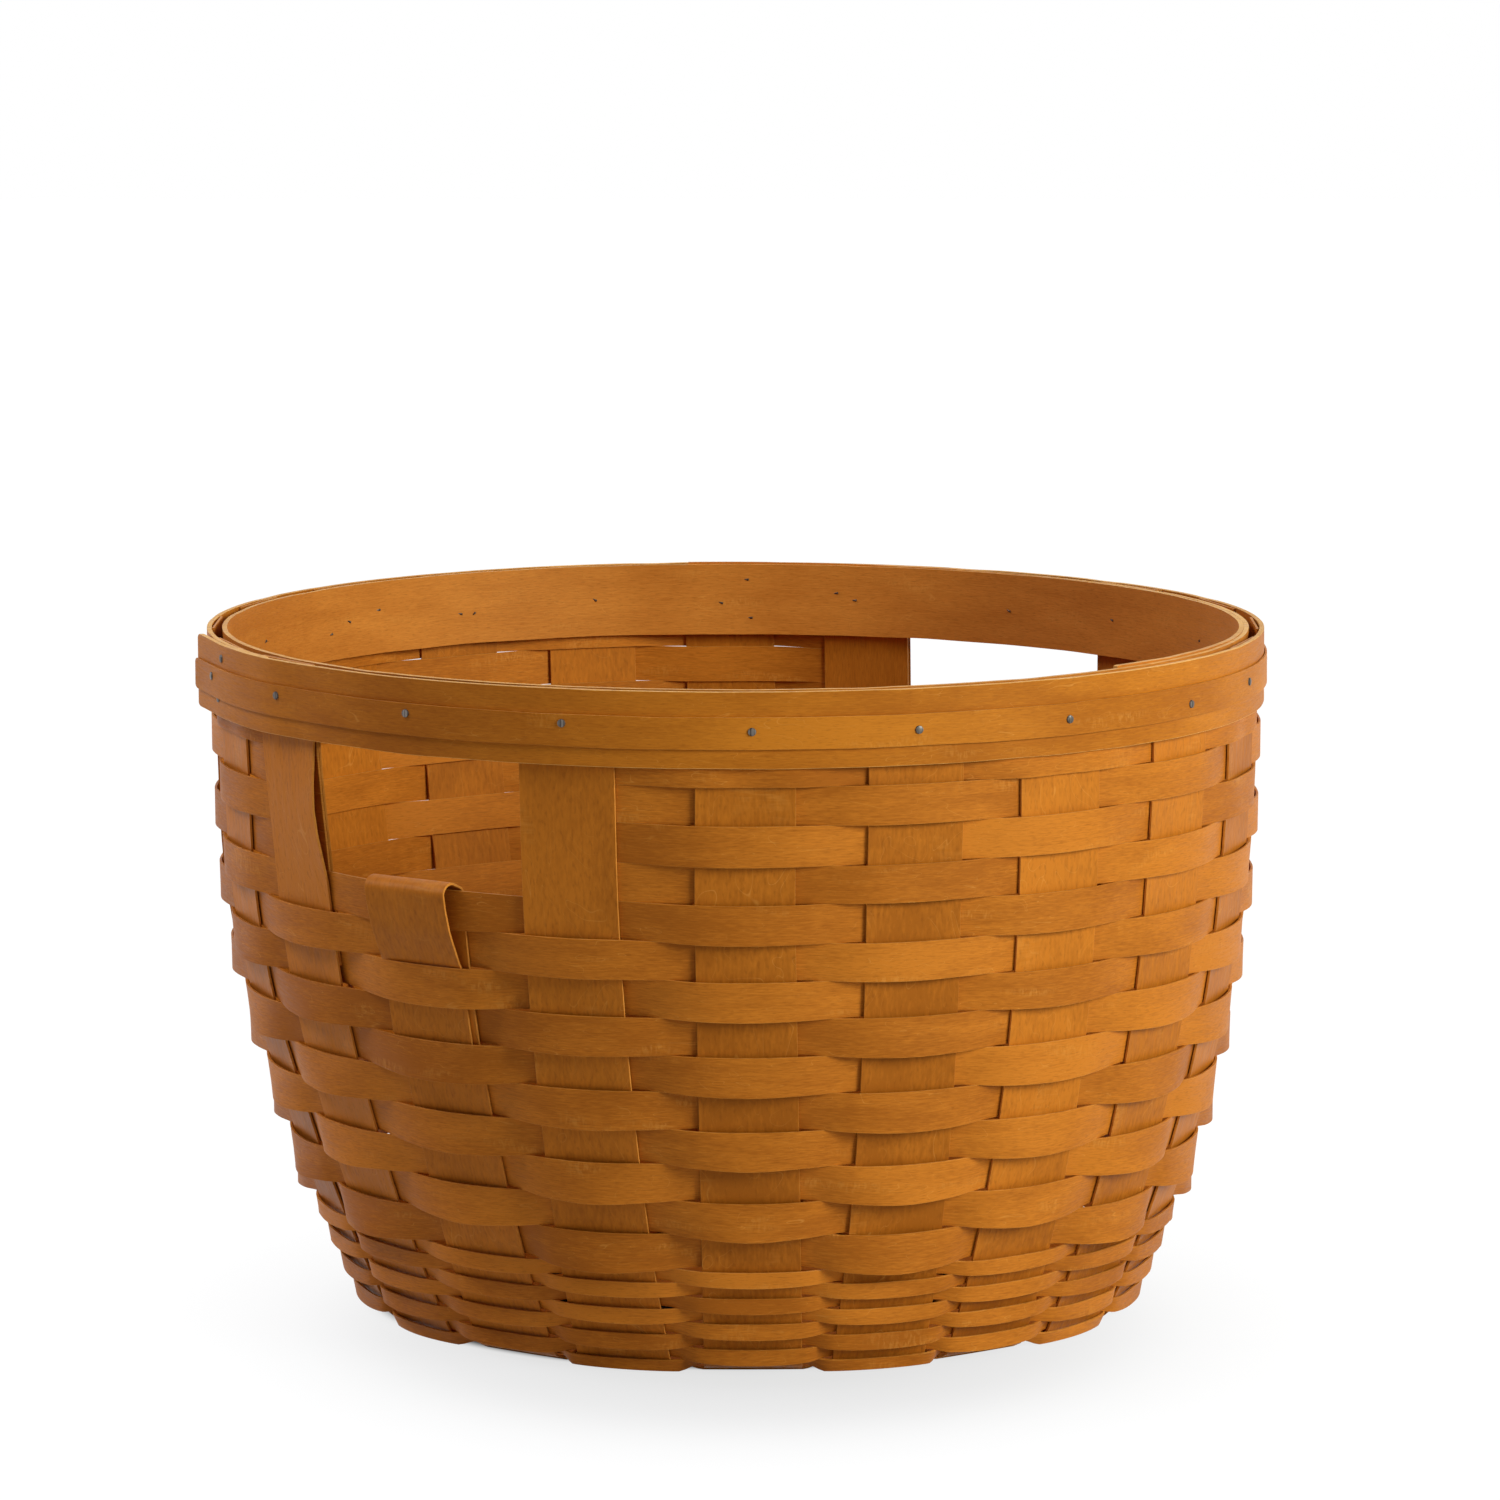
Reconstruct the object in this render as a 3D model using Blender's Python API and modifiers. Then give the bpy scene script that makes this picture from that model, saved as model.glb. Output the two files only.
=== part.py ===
"""Corn basket: a round basket woven from flat wooden strips, with two hand holes under its rim.

Metres, +Z up, standing on z = 0. The front is -Y, and stakes are counted from the front to the right.
Lengths along the wall run from the top of the rim down the wall, round the heel and in over the base.
"""
import math

import bmesh
import bpy
import numpy as np

# Overall form
HEIGHT = 0.2822
RIM_RADIUS = 0.2155       # middle of the stakes at the rim
BASE_RADIUS = 0.1592      # where the wall's line would meet the floor
BELLY_POWER = 2.45        # how late the wall curves in
HEEL_RADIUS = 0.0065      # bend of the stakes from the wall to the base
SIDE_LEAN = 0.0210        # sideways drift of the hand-made basket for each metre down

# Splints, each one two stakes joined across the base
SPLINT_PAIRS = 5          # laid in pairs, so that both hand holes meet the weave alike
STAKE_WIDTH = 0.0392
WAIST_WIDTH = 0.0140
STAKE_THICKNESS = 0.0010
BASE_GAP = 0.0090         # least room between splints for a row that crosses from side to side
STACK_GAP = 0.0040        # how far out from where they would touch the waists start to climb
FRONT_TURN = 0.6          # degrees that the front stake stands to the right
STAKE_DRIFT = (           # degrees that each stake stands off an even spacing, from the front to the right
    0.0, 0.1, -0.3, 0.3, -0.3, -0.4, -0.1, 0.5, 1.0, 1.6,
    0.1, -1.3, -2.0, -2.6, -2.4, -1.7, -0.4, -1.5, -0.8, -0.6,
)
STAKE_TOP = 0.0010        # from the top of the rim down to the stakes' ends

# Weavers, counted from the rim down
WEAVER_THICKNESS = 0.0010
CLEARANCE = 0.0003
CORNER = 0.0008           # how far past a stake's edge a weaver starts to turn
FIRST_ROW = 0.0220        # from the top of the rim down to the first row
ROW_TILT = 0.0013         # how much lower the rows lie on the right, and higher on the left
WIDE_ROWS = 14
NARROW_ROWS = 8
NARROW_PITCH = 0.0062
UPRIGHT_ROWS = 3          # narrow rows at the bend that stand up like the wide ones
HEEL_ROOM = 0.0026        # from the last narrow row to the end of the bend
BASE_ROWS = 6
BASE_PITCH = 0.0102
ROW_GAP = 0.0006          # between one row and the next
WIDE_CROWN = 0.0016       # how far a wide weaver bows out over a stake
UPRIGHT = 0.7             # share of the wall's lean that a weaver makes up for where it bows out
BROAD_BOWS = 9            # first wide row whose bows are broad, as the wall leans more there
BROAD_SHARE = 1 / 3       # how far from its middle a broad bow stays at its full height

# Hand holes
HOLE_STEPS = 2            # splints from the front one back to the one that is folded down
CUT_ROWS = 4
FOLD_RADIUS = 0.0026
TAIL_DEPTH = 5            # rows from the hole down to the one that the folded tail ends behind
LINING_DEPTH = 3          # rows from the hole down to the one that the linings end behind
LINING_INSET = 0.0005     # how much narrower a lining is on each side

# Rim bands
BAND_THICKNESS = 0.0010
OUTER_BAND_WIDTH = 0.0301
INNER_BAND_WIDTH = 0.0311
TRIM_WIDTH = 0.0127
TRIM_DROP = 0.0098        # from the top of the rim to the trim strip
LAP_START = -81.0         # degrees, the outer band's outer end
LAP_LENGTH = 22.0
LAP_STEP = 8.0            # degrees over which a band steps from one layer to the next
TRIM_GAP = 1.0            # degrees between the trim strip's ends
INNER_START = 43.6        # degrees, the inner band's inner end
INNER_LAP = 142.0

# How finely the strips follow their curves
WALL_SAMPLES = 200
HEEL_SAMPLES = 24
HEEL_PASSES = 30
WALL_FACETS = 8
STATION_POWER = 0.83      # below 1, so that the stations lie closer where the wall curves more
HEEL_FACETS = 3
RAMP_FACETS = 3
FOLD_FACETS = 6
BAND_FACETS = 60
SAME_POINT = 1e-6
SHARP_ANGLE = 35.0

# Distances that follow from the sizes above
SPLINTS = 2 * SPLINT_PAIRS
STAKES = 2 * SPLINTS
STAKE_PITCH = 2 * math.pi / STAKES
HOLE_STAKES = (SPLINTS - HOLE_STEPS, STAKES - HOLE_STEPS)
PASS_OFFSET = STAKE_THICKNESS / 2 + CLEARANCE + WEAVER_THICKNESS / 2
LAYER = STAKE_THICKNESS + CLEARANCE
BASE_LIFT = PASS_OFFSET + WEAVER_THICKNESS / 2
STACK_RADIUS = WAIST_WIDTH / 2 / math.tan(STAKE_PITCH / 2) + STACK_GAP
NARROW_EASE = NARROW_PITCH ** 2 / 8 / HEEL_RADIUS  # a flat weaver stands off the bend by its sagitta
FOLD_ROW = CUT_ROWS + 1
TAIL_ROW = CUT_ROWS + TAIL_DEPTH
LINING_ROW = CUT_ROWS + LINING_DEPTH
TRIM_LEVEL = HEIGHT - TRIM_DROP - TRIM_WIDTH / 2

STAKE_COLOUR = (0.47, 0.20, 0.055)
WEAVER_COLOUR = (0.50, 0.225, 0.062)
BAND_COLOUR = (0.42, 0.17, 0.042)


def clear_scene():
    for obj in list(bpy.data.objects):
        bpy.data.objects.remove(obj, do_unlink=True)


def wood(name, colour):
    material = bpy.data.materials.new(name)
    material.use_nodes = True
    shader = material.node_tree.nodes["Principled BSDF"]
    shader.inputs["Base Color"].default_value = (*colour, 1)
    shader.inputs["Roughness"].default_value = 0.5
    shader.inputs["Metallic"].default_value = 0.0
    return material


def share_of(value, start, end):
    """How far a value has gone from start to end, held between 0 and 1."""
    return min(1.0, max(0.0, (value - start) / (end - start)))


def wall_radius(depth):
    return RIM_RADIUS - (RIM_RADIUS - BASE_RADIUS) * (depth / HEIGHT) ** BELLY_POWER


def wall_lean(depth):
    """Angle of the wall from the vertical, leaning in as it goes down."""
    slope = (RIM_RADIUS - BASE_RADIUS) * BELLY_POWER / HEIGHT * (depth / HEIGHT) ** (BELLY_POWER - 1)
    return math.atan(slope)


def section_line():
    """Length, radius, height and lean of the stakes' middle surface, from the rim to the centre of the base."""
    wall_depth = HEIGHT
    for _ in range(HEEL_PASSES):
        wall_depth = HEIGHT - BASE_LIFT - HEEL_RADIUS * (1 - math.sin(wall_lean(wall_depth)))
    depth = np.linspace(0, wall_depth, WALL_SAMPLES)
    lean = np.array([wall_lean(d) for d in depth])
    radius = wall_radius(depth)
    height = HEIGHT - depth
    turn = np.linspace(lean[-1], math.pi / 2, HEEL_SAMPLES)[1:]
    centre_radius = radius[-1] - HEEL_RADIUS * math.cos(lean[-1])
    radius = np.concatenate([radius, centre_radius + HEEL_RADIUS * np.cos(turn), [0]])
    height = np.concatenate([height, BASE_LIFT + HEEL_RADIUS * (1 - np.sin(turn)), [BASE_LIFT]])
    lean = np.concatenate([lean, turn, [math.pi / 2]])
    length = np.concatenate([[0], np.cumsum(np.hypot(np.diff(radius), np.diff(height)))])
    return length, radius, height, lean


LENGTH, RADIUS, LEVEL, LEAN = section_line()
HEEL_START = LENGTH[WALL_SAMPLES - 1]
HEEL_END = LENGTH[-2]
NARROW_START = HEEL_END - HEEL_ROOM - NARROW_ROWS * NARROW_PITCH
WIDE_PITCH = (NARROW_START - FIRST_ROW) / WIDE_ROWS
BASE_START = HEEL_END + 2 * CORNER
BASE_END = BASE_START + BASE_ROWS * BASE_PITCH
WALL_STATIONS = STAKE_TOP + (HEEL_START - STAKE_TOP) * np.linspace(0, 1, WALL_FACETS + 1) ** STATION_POWER


def radius_at(along):
    return float(np.interp(along, LENGTH, RADIUS))


def stake_width(along):
    room = 2 * radius_at(along) * math.tan(STAKE_PITCH / 2) - BASE_GAP
    return min(STAKE_WIDTH, max(WAIST_WIDTH, room))


def stake_angle(stake):
    drift = STAKE_DRIFT[stake % len(STAKE_DRIFT)]
    return stake * STAKE_PITCH + math.radians(FRONT_TURN + drift)


def place(angle, radius, side, height):
    """A point at this radius and height in the plane of an angle, moved sideways, on the leaning basket."""
    x = radius * math.sin(angle) + side * math.cos(angle)
    y = -radius * math.cos(angle) + side * math.sin(angle)
    return x + SIDE_LEAN * (TRIM_LEVEL - height), y, height


def on_stake(stake, along, side, out):
    """A point on a stake's plane: along the wall, sideways across the stake, and out from its middle surface."""
    to_right = math.sin(stake_angle(stake))
    on_wall = min(share_of(along, 0, FIRST_ROW), share_of(along, HEEL_START, NARROW_START))
    along += ROW_TILT * to_right * on_wall
    lean = float(np.interp(along, LENGTH, LEAN))
    radius = radius_at(along) + out * math.cos(lean)
    height = float(np.interp(along, LENGTH, LEVEL)) - out * math.sin(lean)
    return place(stake_angle(stake), radius, side, height)


def strip(name, upper, lower, thickness, material, closed=False):
    """A flat strip of wood bent so that its two long edges follow these lines."""
    columns = len(upper) + (1 if closed else 0)
    mesh = bpy.data.meshes.new(name)
    bm = bmesh.new()
    bmesh.ops.create_grid(bm, x_segments=columns - 1, y_segments=1, size=0.5)
    for vertex in bm.verts:
        column = round((vertex.co.x + 0.5) * (columns - 1)) % len(upper)
        vertex.co = lower[column] if vertex.co.y < 0 else upper[column]
    bmesh.ops.remove_doubles(bm, verts=bm.verts, dist=SAME_POINT)
    bm.to_mesh(mesh)
    bm.free()
    mesh.materials.append(material)
    mesh.shade_smooth()
    mesh.set_sharp_from_angle(angle=math.radians(SHARP_ANGLE))
    piece = bpy.data.objects.new(name, mesh)
    basket.objects.link(piece)
    body = piece.modifiers.new("Thickness", "SOLIDIFY")
    body.thickness = thickness
    body.offset = 0
    body.use_even_offset = True
    return piece


# Splints

def row_top(row):
    """Where a wide row begins, along the wall."""
    return FIRST_ROW + (row - 1) * WIDE_PITCH


def base_lift_share(along):
    """0 where the base rows hold a splint down, 1 on the stack at the centre."""
    share = share_of(radius_at(along), radius_at(BASE_END + CORNER), STACK_RADIUS)
    return share * share * (3 - 2 * share)


def half_splint(splint):
    """(along, out) stations of half a splint, from the top of its stake to the edge of the centre stack."""
    heel = np.linspace(HEEL_START, HEEL_END, HEEL_FACETS + 1)[1:]
    ramp = np.linspace(BASE_END + CORNER, LENGTH[-1] - STACK_RADIUS, RAMP_FACETS + 1)
    return [(s, -splint * LAYER * base_lift_share(s)) for s in (*WALL_STATIONS, *heel, *ramp)]


def folded_tail():
    """(along, out) stations of a folded stake from its tail, tucked behind two rows, over the fold."""
    edge = row_top(FOLD_ROW)
    tail = [
        (row_top(TAIL_ROW) + WIDE_PITCH / 2, LAYER),
        (row_top(FOLD_ROW + 3), LAYER),
        (row_top(FOLD_ROW + 2), LAYER + CLEARANCE),
        (row_top(FOLD_ROW + 1), 2 * FOLD_RADIUS - CLEARANCE),
    ]
    for turn in np.linspace(0, math.pi, FOLD_FACETS + 1):
        tail.append((edge - FOLD_RADIUS * math.sin(turn), FOLD_RADIUS * (1 + math.cos(turn))))
    return tail


def make_splint(splint):
    path = half_splint(splint)
    if splint in HOLE_STAKES:
        below_fold = row_top(FOLD_ROW) + CORNER
        path = folded_tail() + [station for station in path if station[0] > below_fold]
    upper = []
    lower = []
    for stake, stations in ((splint, path), (splint + SPLINTS, path[::-1])):
        for along, out in stations:
            half = stake_width(along) / 2
            side = half if stake == splint else -half
            upper.append(on_stake(stake, along, side, out))
            lower.append(on_stake(stake, along, -side, out))
    strip("splint_%02d" % (splint + 1), upper, lower, STAKE_THICKNESS, stake_wood)


def make_lining(stake):
    """A strip inside a stake beside a hand hole, which covers the cut ends of the rows."""
    fold_row_end = row_top(FOLD_ROW + 1)
    beside_rows = [along for along in WALL_STATIONS if along < fold_row_end]
    stations = [(along, 2 * PASS_OFFSET) for along in (*beside_rows, fold_row_end)]
    stations += [(fold_row_end + WIDE_PITCH / 2, LAYER), (row_top(LINING_ROW) + WIDE_PITCH / 2, LAYER)]
    half = STAKE_WIDTH / 2 - LINING_INSET
    upper = [on_stake(stake, along, half, -inward) for along, inward in stations]
    lower = [on_stake(stake, along, -half, -inward) for along, inward in stations]
    strip("hole_lining_%02d" % stake, upper, lower, STAKE_THICKNESS, stake_wood)


# Weavers

def beside_hole(stake):
    return any((stake - hole) % STAKES in (1, STAKES - 1) for hole in HOLE_STAKES)


def passes_outside(row, stake):
    """The row under a hole passes outside the folded stake, and the cut rows end inside the next stakes."""
    if row <= CUT_ROWS and beside_hole(stake):
        return False
    return (row - FOLD_ROW + stake - HOLE_STAKES[0]) % 2 == 0


def extra_layers(row, stake):
    """Strips that lie between a weaver and the stake: a folded tail outside it, or a lining's end inside it."""
    outside = passes_outside(row, stake)
    behind_tail = outside and stake in HOLE_STAKES and FOLD_ROW < row <= TAIL_ROW
    behind_lining = not outside and beside_hole(stake) and FOLD_ROW < row <= LINING_ROW
    return 1 if behind_tail or behind_lining else 0


def is_crowned(row, stake):
    """Wide rows bow out over a stake, except under the rim's band and inside a folded stake."""
    under_band = row_top(row) < OUTER_BAND_WIDTH
    in_fold = row == FOLD_ROW and stake in HOLE_STAKES
    return row <= WIDE_ROWS and not under_band and not in_fold


def row_stations(row, stake, along):
    """(side, out, upright) of a row's stations at one stake, left to right."""
    reach = stake_width(along) / 2 + CORNER
    out = PASS_OFFSET + extra_layers(row, stake) * LAYER
    if not passes_outside(row, stake):
        return [(-reach, -out, 0), (reach, -out, 0)]
    if WIDE_ROWS < row <= WIDE_ROWS + NARROW_ROWS:
        out += NARROW_EASE
    bow = []
    if is_crowned(row, stake):
        sides = (-reach * BROAD_SHARE, reach * BROAD_SHARE) if row >= BROAD_BOWS else (0,)
        bow = [(side, out + WIDE_CROWN, UPRIGHT) for side in sides]
    elif WIDE_ROWS + NARROW_ROWS - UPRIGHT_ROWS < row <= WIDE_ROWS + NARROW_ROWS:
        bow = [(0, out, UPRIGHT)]
    return [(-reach, out, 0), *bow, (reach, out, 0)]


def row_place(row):
    """The middle of a row along the wall, and its pitch."""
    if row <= WIDE_ROWS:
        return row_top(row) + WIDE_PITCH / 2, WIDE_PITCH
    row -= WIDE_ROWS
    if row <= NARROW_ROWS:
        return NARROW_START + (row - 0.5) * NARROW_PITCH, NARROW_PITCH
    row -= NARROW_ROWS
    return BASE_START + (row - 0.5) * BASE_PITCH, BASE_PITCH


def lower_edge(above, below, width, upright):
    """The lower edge of a strip that stands between following the wall and hanging straight down."""
    straight_down = (above[0], above[1], above[2] - width)
    x, y, z = (b + (d - b) * upright for b, d in zip(below, straight_down))
    return x, y, max(z, WEAVER_THICKNESS / 2)


def make_row(name, row, stakes, closed):
    middle, pitch = row_place(row)
    width = pitch - ROW_GAP
    path = [(stake, *station) for stake in stakes for station in row_stations(row, stake, middle)]
    if not closed:
        trim = CORNER + LINING_INSET
        first, last = path[0], path[-1]
        path[0] = (first[0], first[1] + trim, *first[2:])
        path[-1] = (last[0], last[1] - trim, *last[2:])
    upper = []
    lower = []
    for stake, side, out, upright in path:
        above = on_stake(stake, middle - width / 2, side, out)
        below = on_stake(stake, middle + width / 2, side, out)
        upper.append(above)
        lower.append(lower_edge(above, below, width, upright))
    strip(name, upper, lower, WEAVER_THICKNESS, weaver_wood, closed)


def make_rows():
    first_hole, second_hole = HOLE_STAKES
    right_side = [stake % STAKES for stake in range(second_hole + 1 - STAKES, first_hole)]
    left_side = list(range(first_hole + 1, second_hole))
    for row in range(1, CUT_ROWS + 1):
        make_row("wide_row_%02d_right" % row, row, right_side, False)
        make_row("wide_row_%02d_left" % row, row, left_side, False)
    for row in range(CUT_ROWS + 1, WIDE_ROWS + 1):
        make_row("wide_row_%02d" % row, row, range(STAKES), True)
    for row in range(1, NARROW_ROWS + 1):
        make_row("narrow_row_%02d" % row, WIDE_ROWS + row, range(STAKES), True)
    for row in range(1, BASE_ROWS + 1):
        make_row("base_row_%02d" % row, WIDE_ROWS + NARROW_ROWS + row, range(STAKES), True)


# Rim bands

def band(name, start, sweep, radius_of, top, width):
    """A band that runs round the rim from a start angle, at a radius that depends on how far it has run."""
    count = max(1, round(sweep / (2 * math.pi) * BAND_FACETS))
    upper = []
    lower = []
    for step in range(count + 1):
        run = sweep * step / count
        radius = radius_of(run)
        upper.append(place(start + run, radius, 0, HEIGHT - top))
        lower.append(place(start + run, radius, 0, HEIGHT - top - width))
    strip(name, upper, lower, BAND_THICKNESS, band_wood)


def make_bands():
    full_turn = 2 * math.pi
    layer = BAND_THICKNESS + 2 * CLEARANCE
    lap = math.radians(LAP_LENGTH)
    inner_lap = math.radians(INNER_LAP)
    step = math.radians(LAP_STEP)
    start = math.radians(LAP_START)
    weave_corner = math.hypot(RIM_RADIUS + BASE_LIFT, STAKE_WIDTH / 2 + CORNER)
    outer_radius = (weave_corner + CLEARANCE + BAND_THICKNESS / 2) / math.cos(math.pi / BAND_FACETS)
    innermost = wall_radius(INNER_BAND_WIDTH) - 2 * PASS_OFFSET - STAKE_THICKNESS / 2
    inner_radius = innermost - CLEARANCE - BAND_THICKNESS / 2

    def outer(run):
        return outer_radius + layer * (1 - share_of(run, lap + CORNER / outer_radius, lap + step))

    def trim(run):
        return outer(run) + layer

    def inner(run):
        return inner_radius - layer * (1 - share_of(run, inner_lap + CORNER / inner_radius, inner_lap + step))

    band("outer_band", start, full_turn + lap, outer, 0, OUTER_BAND_WIDTH)
    band("trim_band", start, full_turn - math.radians(TRIM_GAP), trim, TRIM_DROP, TRIM_WIDTH)
    inner_start = math.radians(INNER_START)
    band("inner_band", inner_start, full_turn + inner_lap, inner, 0, INNER_BAND_WIDTH)


clear_scene()
basket = bpy.data.collections.new("corn_basket")
bpy.context.scene.collection.children.link(basket)
stake_wood = wood("stake_wood", STAKE_COLOUR)
weaver_wood = wood("weaver_wood", WEAVER_COLOUR)
band_wood = wood("band_wood", BAND_COLOUR)

for splint_number in range(SPLINTS):
    make_splint(splint_number)
for stake_number in range(STAKES):
    if beside_hole(stake_number):
        make_lining(stake_number)
make_rows()
make_bands()
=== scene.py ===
import itertools
import math
import random

import bmesh
import bpy
import numpy as np
from mathutils import Matrix, Vector, noise
from mathutils.geometry import interpolate_bezier


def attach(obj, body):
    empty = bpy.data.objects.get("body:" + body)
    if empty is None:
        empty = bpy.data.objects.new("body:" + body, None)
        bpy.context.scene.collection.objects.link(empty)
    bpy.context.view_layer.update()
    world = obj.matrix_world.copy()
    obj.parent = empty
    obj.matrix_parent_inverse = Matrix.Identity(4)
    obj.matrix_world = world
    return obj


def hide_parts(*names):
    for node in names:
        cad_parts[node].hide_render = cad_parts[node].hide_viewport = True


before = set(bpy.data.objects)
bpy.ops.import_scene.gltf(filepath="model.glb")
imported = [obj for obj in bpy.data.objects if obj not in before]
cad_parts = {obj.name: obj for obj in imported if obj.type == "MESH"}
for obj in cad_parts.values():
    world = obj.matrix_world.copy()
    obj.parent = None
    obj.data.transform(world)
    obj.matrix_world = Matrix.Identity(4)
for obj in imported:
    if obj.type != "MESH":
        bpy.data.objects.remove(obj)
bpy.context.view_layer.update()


# The camera
# It stands three metres in front of the basket, a little above its rim, with a long lens. It looks
# slightly down, so that the inside of the back wall shows over the front of the rim.

CAMERA_PLACE = (0.0, -3.0, 0.6545)
CAMERA_PITCH = math.radians(7.69)
SENSOR_WIDTH = 36.0
FOCAL_LENGTH = 174.3
SHIFT_RIGHT = 0.0099
SHIFT_UP = -0.0331

camera = bpy.data.objects.new("camera", bpy.data.cameras.new("camera"))
camera.data.sensor_width = SENSOR_WIDTH
camera.data.lens = FOCAL_LENGTH
camera.data.shift_x = SHIFT_RIGHT
camera.data.shift_y = SHIFT_UP
camera.location = CAMERA_PLACE
camera.rotation_euler = (math.pi / 2 - CAMERA_PITCH, 0, 0)
bpy.context.scene.collection.objects.link(camera)
bpy.context.scene.camera = camera
bpy.context.scene.view_settings.view_transform = "Standard"


# The studio
# A white floor, lit by soft lamps, the strongest at the right. In front of the basket the floor shows a
# faint painted shadow: its own glow is made weaker there, and dark beneath the base.

FLOOR_SIZE = 14.0
FLOOR_DROP = 0.0002       # how far it lies below the basket, so that the two don't flicker
FLOOR_WHITE = 0.60        # how much light the floor throws back on the basket
FLOOR_SHADE = 0.05        # how much of its light the camera sees
# The painted shadow on the floor: where it is centred, how it is squeezed and how far it reaches.
SHADOW_CENTRE = (0.003, -0.060)
SHADOW_STRETCH = 1.25     # how much narrower the shadow is from side to side
SHADOW_REACH = 0.40
PAINTED_SHADOW_STEPS = (            # share of that reach, glow of the painted shadow
    (0.0, 0.70), (0.30, 0.742), (0.36, 0.772), (0.42, 0.797), (0.47, 0.837),
    (0.52, 0.887), (0.58, 0.932), (0.66, 0.960), (0.76, 0.985), (0.88, 1.0),
)
UNDER_BASE = (0.146, 0.157)   # painted shade: dark within the first radius, and glowing beyond the second
ROOM_LIGHT = 0.14
LAMP_DISTANCE = 3.0
LAMP_AIM = Vector((0, 0, 0.15))
LAMPS = (                 # degrees from the front to the right, degrees up, size, power, colour
    ("right_lamp", 56, 22, 1.4, 77.0, (1.0, 1.11, 1.08)),
    ("left_lamp", -90, 45, 1.4, 37.0, (1.0, 1.02, 1.24)),
    ("top_lamp", 10, 78, 1.6, 6.0, (1.0, 1.0, 1.0)),
)


def feed(tree, socket, value):
    """Gives a node's input a number, a colour or another node's output."""
    if isinstance(value, bpy.types.NodeSocket):
        tree.links.new(value, socket)
    elif isinstance(value, tuple):
        socket.default_value = (*value, 1)
    else:
        socket.default_value = value


def link_math(tree, operation, first, second):
    node = tree.nodes.new("ShaderNodeMath")
    node.operation = operation
    feed(tree, node.inputs[0], first)
    feed(tree, node.inputs[1], second)
    return node.outputs[0]


def link_vector(tree, operation, vector, second=(0, 0, 0)):
    node = tree.nodes.new("ShaderNodeVectorMath")
    node.operation = operation
    node.inputs[1].default_value = second
    tree.links.new(vector, node.inputs[0])
    return node.outputs["Vector"] if operation == "MULTIPLY" else node.outputs["Value"]


def link_range(tree, value, low, high, new_low, new_high, curve="LINEAR"):
    spread = tree.nodes.new("ShaderNodeMapRange")
    spread.interpolation_type = curve
    spread.inputs["From Min"].default_value = low
    spread.inputs["From Max"].default_value = high
    spread.inputs["To Min"].default_value = new_low
    spread.inputs["To Max"].default_value = new_high
    tree.links.new(value, spread.inputs["Value"])
    return spread.outputs[0]


def seen_directly(tree):
    """1 where the camera, a mirror or glass shows the white itself, 0 where it only lights the basket."""
    path = tree.nodes.new("ShaderNodeLightPath")
    shown = path.outputs["Is Camera Ray"]
    for ray in ("Is Glossy Ray", "Is Transmission Ray"):
        shown = link_math(tree, "MAXIMUM", shown, path.outputs[ray])
    return shown


def plain_diffuse(tree, grey):
    shader = tree.nodes.new("ShaderNodeBsdfDiffuse")
    shader.inputs["Color"].default_value = (grey, grey, grey, 1)
    return shader.outputs[0]


def floor_glow_and_painted_shadow(tree):
    """The floor's own light, with a painted shadow: weaker towards its middle, and none beneath the base.
    """
    where = tree.nodes.new("ShaderNodeTexCoord").outputs["Object"]
    squeezed = link_vector(tree, "MULTIPLY", where, (SHADOW_STRETCH, 1, 1))
    centre = (SHADOW_CENTRE[0] * SHADOW_STRETCH, SHADOW_CENTRE[1], -FLOOR_DROP)
    reach = link_range(tree, link_vector(tree, "DISTANCE", squeezed, centre), 0, SHADOW_REACH, 0, 1)
    ramp = tree.nodes.new("ShaderNodeValToRGB")
    ramp.color_ramp.interpolation = "B_SPLINE"
    for number, (share, level) in enumerate(PAINTED_SHADOW_STEPS):
        stop = ramp.color_ramp.elements[0] if number == 0 else ramp.color_ramp.elements.new(share)
        stop.color = (level, level, level, 1)
    tree.links.new(reach, ramp.inputs["Fac"])
    uncovered = link_range(tree, link_vector(tree, "LENGTH", where), *UNDER_BASE, 0, 1, "SMOOTHSTEP")
    glow = tree.nodes.new("ShaderNodeEmission")
    tree.links.new(ramp.outputs["Color"], glow.inputs["Color"])
    tree.links.new(uncovered, glow.inputs["Strength"])
    return glow.outputs[0]


def white_paper():
    """The camera sees the glow, painted shadow and a little shade; plain white paper lights the basket."""
    paper = bpy.data.materials.new("white_paper")
    paper.use_nodes = True
    tree = paper.node_tree
    tree.nodes.clear()
    out = tree.nodes.new("ShaderNodeOutputMaterial")
    both = tree.nodes.new("ShaderNodeAddShader")
    tree.links.new(plain_diffuse(tree, FLOOR_SHADE), both.inputs[0])
    tree.links.new(floor_glow_and_painted_shadow(tree), both.inputs[1])
    pick = tree.nodes.new("ShaderNodeMixShader")
    tree.links.new(seen_directly(tree), pick.inputs["Fac"])
    tree.links.new(plain_diffuse(tree, FLOOR_WHITE), pick.inputs[1])
    tree.links.new(both.outputs[0], pick.inputs[2])
    tree.links.new(pick.outputs[0], out.inputs["Surface"])
    return paper


def make_floor():
    mesh = bpy.data.meshes.new("floor")
    bm = bmesh.new()
    bmesh.ops.create_grid(bm, x_segments=2, y_segments=2, size=FLOOR_SIZE / 2)
    bmesh.ops.translate(bm, verts=bm.verts, vec=(0, 0, -FLOOR_DROP))
    bm.to_mesh(mesh)
    bm.free()
    mesh.materials.append(white_paper())
    floor = bpy.data.objects.new("floor", mesh)
    bpy.context.scene.collection.objects.link(floor)


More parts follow.
